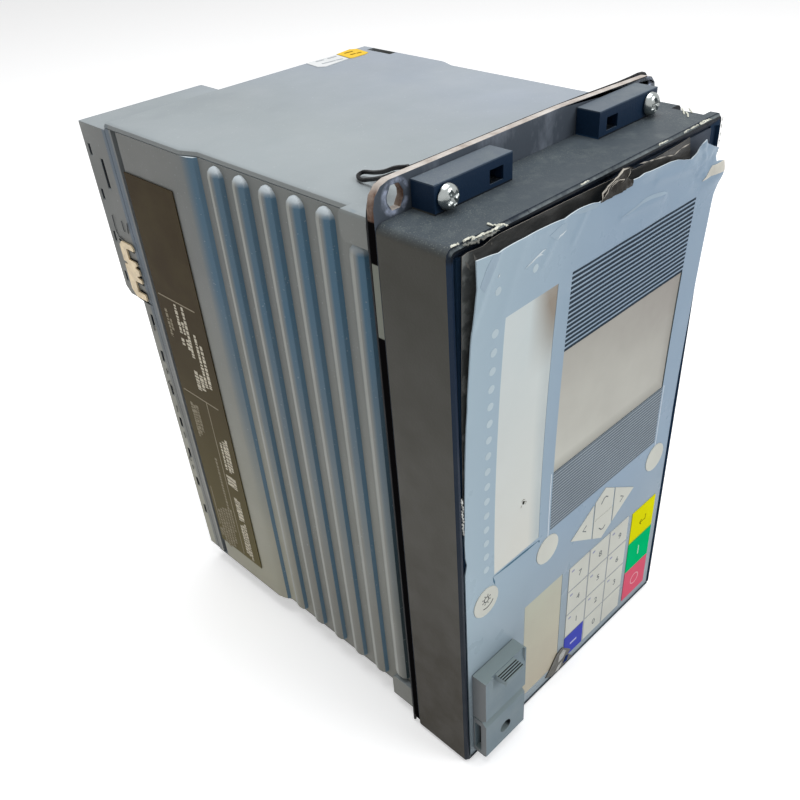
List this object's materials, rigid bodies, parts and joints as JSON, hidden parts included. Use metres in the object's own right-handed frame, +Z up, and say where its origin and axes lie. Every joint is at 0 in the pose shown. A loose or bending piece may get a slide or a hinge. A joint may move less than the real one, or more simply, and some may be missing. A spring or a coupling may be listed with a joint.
{
  "type": "protection relay",
  "caption": "Flush-mounting protection relay: ribbed sheet-metal case, flange, bezel, printed front film with keypad and display, hinged port flap, rear terminal blocks.",
  "frame": {"origin": "middle of the bounding box's base: the lowest edge of the bezel and flange is at height zero", "axes": "+Z up along the case, +X to the right seen from the front, -Y out of the front film"},
  "size_m": [0.15, 0.227, 0.262],
  "materials": {
    "bezel_screw_left": "satin",
    "bezel_screw_right": "satin",
    "bottom_cover": "satin",
    "contact_spring": "satin",
    "current_transformer_1": "matte",
    "current_transformer_2": "matte",
    "current_transformer_3": "matte",
    "current_transformer_4": "matte",
    "display_module": "gloss",
    "display_window": "gloss",
    "earth_screw": "satin",
    "flange_seal": "matte",
    "front_bezel": "matte",
    "front_board": "satin",
    "front_collar": "satin",
    "front_film": "satin",
    "front_plate": "matte",
    "input_output_board": "satin",
    "key_0": "satin",
    "key_1": "satin",
    "key_2": "satin",
    "key_3": "satin",
    "key_4": "satin",
    "key_5": "satin",
    "key_6": "satin",
    "key_7": "satin",
    "key_8": "satin",
    "key_9": "satin",
    "key_blank": "satin",
    "key_down": "satin",
    "key_enter": "satin",
    "key_fn": "satin",
    "key_lamp_test": "satin",
    "key_left": "satin",
    "key_menu_left": "satin",
    "key_menu_right": "satin",
    "key_off": "satin",
    "key_on": "satin",
    "key_right": "satin",
    "key_up": "satin",
    "lamp_light_guide": "gloss",
    "lower_label_strip": "satin",
    "lower_terminal_block": "matte",
    "mounting_flange": "satin",
    "port_flap": "matte",
    "port_hinge_base": "matte",
    "port_socket": "satin",
    "power_supply_board": "satin",
    "power_transformer": "matte",
    "processor_board": "satin",
    "rating_label": "satin",
    "rear_cover": "satin",
    "rubber_key_mat": "matte",
    "side_panel_left": "satin",
    "side_panel_right": "satin",
    "supply_terminal_block": "matte",
    "top_cover": "satin",
    "top_sticker": "satin",
    "upper_label_strip": "satin",
    "upper_terminal_block": "matte"
  },
  "bodies": {
    "relay_case": {"bezel_screw_left": "bezel_screw_left", "bezel_screw_right": "bezel_screw_right", "bottom_cover": "bottom_cover", "contact_spring": "contact_spring", "current_transformer_1": "current_transformer_1", "current_transformer_2": "current_transformer_2", "current_transformer_3": "current_transformer_3", "current_transformer_4": "current_transformer_4", "display_module": "display_module", "display_window": "display_window", "earth_screw": "earth_screw", "flange_seal": "flange_seal", "front_bezel": "front_bezel", "front_board": "front_board", "front_collar": "front_collar", "front_film": "front_film", "front_plate": "front_plate", "input_output_board": "input_output_board", "lamp_light_guide": "lamp_light_guide", "lower_label_strip": "lower_label_strip", "lower_terminal_block": "lower_terminal_block", "mounting_flange": "mounting_flange", "port_hinge_base": "port_hinge_base", "port_socket": "port_socket", "power_supply_board": "power_supply_board", "power_transformer": "power_transformer", "processor_board": "processor_board", "rating_label": "rating_label", "rear_cover": "rear_cover", "rubber_key_mat": "rubber_key_mat", "side_panel_left": "side_panel_left", "side_panel_right": "side_panel_right", "supply_terminal_block": "supply_terminal_block", "top_cover": "top_cover", "top_sticker": "top_sticker", "upper_label_strip": "upper_label_strip", "upper_terminal_block": "upper_terminal_block"},
    "key_0_cap": {"key_0": "key_0"},
    "key_1_cap": {"key_1": "key_1"},
    "key_2_cap": {"key_2": "key_2"},
    "key_3_cap": {"key_3": "key_3"},
    "key_4_cap": {"key_4": "key_4"},
    "key_5_cap": {"key_5": "key_5"},
    "key_6_cap": {"key_6": "key_6"},
    "key_7_cap": {"key_7": "key_7"},
    "key_8_cap": {"key_8": "key_8"},
    "key_9_cap": {"key_9": "key_9"},
    "key_blank_cap": {"key_blank": "key_blank"},
    "key_down_cap": {"key_down": "key_down"},
    "key_enter_cap": {"key_enter": "key_enter"},
    "key_fn_cap": {"key_fn": "key_fn"},
    "key_lamp_test_cap": {"key_lamp_test": "key_lamp_test"},
    "key_left_cap": {"key_left": "key_left"},
    "key_menu_left_cap": {"key_menu_left": "key_menu_left"},
    "key_menu_right_cap": {"key_menu_right": "key_menu_right"},
    "key_off_cap": {"key_off": "key_off"},
    "key_on_cap": {"key_on": "key_on"},
    "key_right_cap": {"key_right": "key_right"},
    "key_up_cap": {"key_up": "key_up"},
    "port_flap_body": {"port_flap": "port_flap"}
  },
  "joints": [
    {"name": "key_0_press", "type": "slide", "parent": "relay_case", "child": "key_0_cap", "axis": [0, 1, 0], "range_m": [0, 0.0006], "stiffness_N_per_m": 600},
    {"name": "key_1_press", "type": "slide", "parent": "relay_case", "child": "key_1_cap", "axis": [0, 1, 0], "range_m": [0, 0.0006], "stiffness_N_per_m": 600},
    {"name": "key_2_press", "type": "slide", "parent": "relay_case", "child": "key_2_cap", "axis": [0, 1, 0], "range_m": [0, 0.0006], "stiffness_N_per_m": 600},
    {"name": "key_3_press", "type": "slide", "parent": "relay_case", "child": "key_3_cap", "axis": [0, 1, 0], "range_m": [0, 0.0006], "stiffness_N_per_m": 600},
    {"name": "key_4_press", "type": "slide", "parent": "relay_case", "child": "key_4_cap", "axis": [0, 1, 0], "range_m": [0, 0.0006], "stiffness_N_per_m": 600},
    {"name": "key_5_press", "type": "slide", "parent": "relay_case", "child": "key_5_cap", "axis": [0, 1, 0], "range_m": [0, 0.0006], "stiffness_N_per_m": 600},
    {"name": "key_6_press", "type": "slide", "parent": "relay_case", "child": "key_6_cap", "axis": [0, 1, 0], "range_m": [0, 0.0006], "stiffness_N_per_m": 600},
    {"name": "key_7_press", "type": "slide", "parent": "relay_case", "child": "key_7_cap", "axis": [0, 1, 0], "range_m": [0, 0.0006], "stiffness_N_per_m": 600},
    {"name": "key_8_press", "type": "slide", "parent": "relay_case", "child": "key_8_cap", "axis": [0, 1, 0], "range_m": [0, 0.0006], "stiffness_N_per_m": 600},
    {"name": "key_9_press", "type": "slide", "parent": "relay_case", "child": "key_9_cap", "axis": [0, 1, 0], "range_m": [0, 0.0006], "stiffness_N_per_m": 600},
    {"name": "key_blank_press", "type": "slide", "parent": "relay_case", "child": "key_blank_cap", "axis": [0, 1, 0], "range_m": [0, 0.0006], "stiffness_N_per_m": 600},
    {"name": "key_down_press", "type": "slide", "parent": "relay_case", "child": "key_down_cap", "axis": [0, 1, 0], "range_m": [0, 0.0006], "stiffness_N_per_m": 600},
    {"name": "key_enter_press", "type": "slide", "parent": "relay_case", "child": "key_enter_cap", "axis": [0, 1, 0], "range_m": [0, 0.0006], "stiffness_N_per_m": 600},
    {"name": "key_fn_press", "type": "slide", "parent": "relay_case", "child": "key_fn_cap", "axis": [0, 1, 0], "range_m": [0, 0.0006], "stiffness_N_per_m": 600},
    {"name": "key_lamp_test_press", "type": "slide", "parent": "relay_case", "child": "key_lamp_test_cap", "axis": [0, 1, 0], "range_m": [0, 0.0006], "stiffness_N_per_m": 600},
    {"name": "key_left_press", "type": "slide", "parent": "relay_case", "child": "key_left_cap", "axis": [0, 1, 0], "range_m": [0, 0.0006], "stiffness_N_per_m": 600},
    {"name": "key_menu_left_press", "type": "slide", "parent": "relay_case", "child": "key_menu_left_cap", "axis": [0, 1, 0], "range_m": [0, 0.0006], "stiffness_N_per_m": 600},
    {"name": "key_menu_right_press", "type": "slide", "parent": "relay_case", "child": "key_menu_right_cap", "axis": [0, 1, 0], "range_m": [0, 0.0006], "stiffness_N_per_m": 600},
    {"name": "key_off_press", "type": "slide", "parent": "relay_case", "child": "key_off_cap", "axis": [0, 1, 0], "range_m": [0, 0.0006], "stiffness_N_per_m": 600},
    {"name": "key_on_press", "type": "slide", "parent": "relay_case", "child": "key_on_cap", "axis": [0, 1, 0], "range_m": [0, 0.0006], "stiffness_N_per_m": 600},
    {"name": "key_right_press", "type": "slide", "parent": "relay_case", "child": "key_right_cap", "axis": [0, 1, 0], "range_m": [0, 0.0006], "stiffness_N_per_m": 600},
    {"name": "key_up_press", "type": "slide", "parent": "relay_case", "child": "key_up_cap", "axis": [0, 1, 0], "range_m": [0, 0.0006], "stiffness_N_per_m": 600},
    {"name": "port_flap_hinge", "type": "hinge", "parent": "relay_case", "child": "port_flap_body", "pos_m": [-0.05585, -0.10615, 0.03], "axis": [1, 0, 0], "range_deg": [0, 90]}
  ]
}
